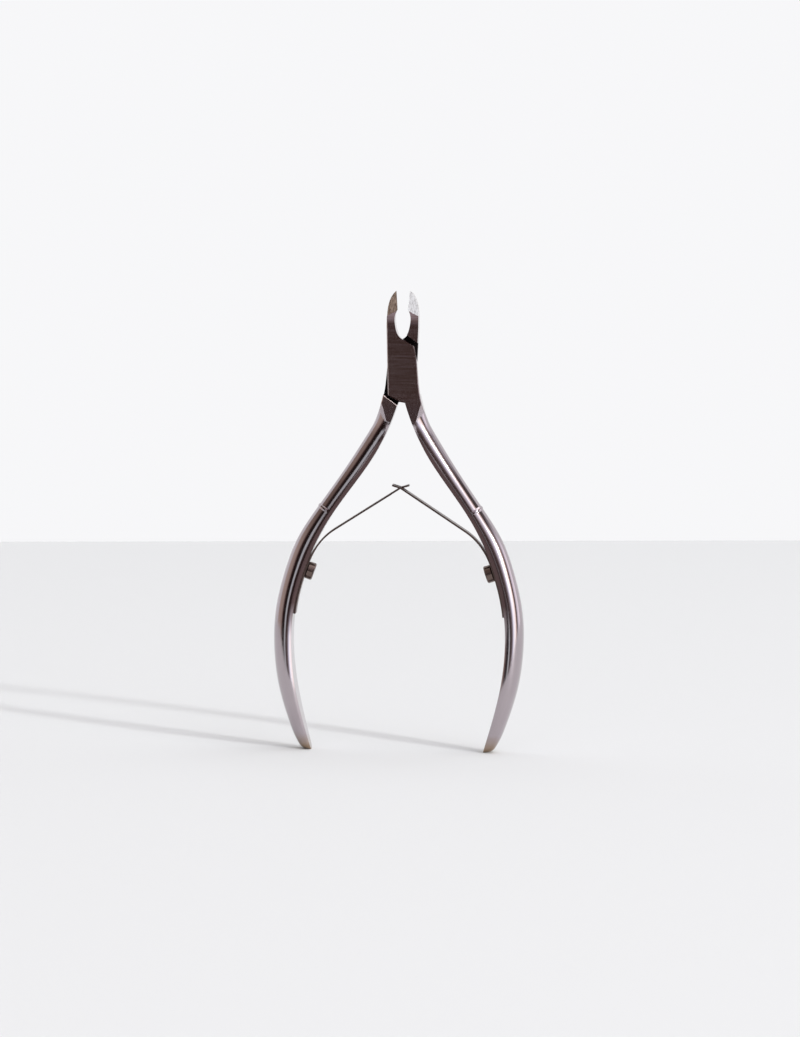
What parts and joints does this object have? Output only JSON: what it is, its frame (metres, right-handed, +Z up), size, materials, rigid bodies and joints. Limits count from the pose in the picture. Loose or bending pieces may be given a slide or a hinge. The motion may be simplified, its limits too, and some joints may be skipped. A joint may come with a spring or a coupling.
{
  "type": "cuticle nipper",
  "caption": "Hand nipper with short cutting jaws, a lap joint, bowed handles and a pair of crossed leaf springs that hold it open.",
  "frame": {"origin": "on the surface that the nipper stands on, under the middle of its box at rest", "axes": "+X to the right seen from the front lap plate, +Y away from the viewer along the rivet, +Z up towards the jaws"},
  "size_m": [0.054, 0.0088, 0.0994],
  "materials": {
    "forged_steel": "satin-polished stainless steel, finely brushed along the handles",
    "spring_steel": "plain spring strip, lightly brushed",
    "screw_steel": "turned screw, duller than the levers"
  },
  "bodies": {
    "front_lever_body": {"front_lever": "forged_steel", "pivot_rivet": "forged_steel", "right_spring_screw": "screw_steel"},
    "rear_lever_body": {"rear_lever": "forged_steel", "left_spring_screw": "screw_steel"},
    "left_leaf_body": {"left_spring": "spring_steel"},
    "right_leaf_body": {"right_spring": "spring_steel"}
  },
  "joints": [
    {"name": "pivot", "type": "hinge", "parent": "front_lever_body", "child": "rear_lever_body", "pos_m": [0, 0, 0.0829], "axis": [0, -1, 0], "range_deg": [0, 10], "stiffness_Nm_per_rad": 0.3, "springref_deg": -6.88},
    {"name": "left_leaf_flex", "type": "hinge", "parent": "rear_lever_body", "child": "left_leaf_body", "pos_m": [-0.0178, 0, 0.0453], "axis": [0, -1, 0], "range_deg": [0, 9], "deforming": ["left_spring"]},
    {"name": "right_leaf_flex", "type": "hinge", "parent": "front_lever_body", "child": "right_leaf_body", "pos_m": [0.0178, 0, 0.0453], "axis": [0, -1, 0], "range_deg": [-9, 0], "deforming": ["right_spring"]}
  ],
  "couplings": [
    {"joint": "left_leaf_flex", "follows": "pivot", "ratio": 0.89},
    {"joint": "right_leaf_flex", "follows": "pivot", "ratio": -0.89}
  ]
}
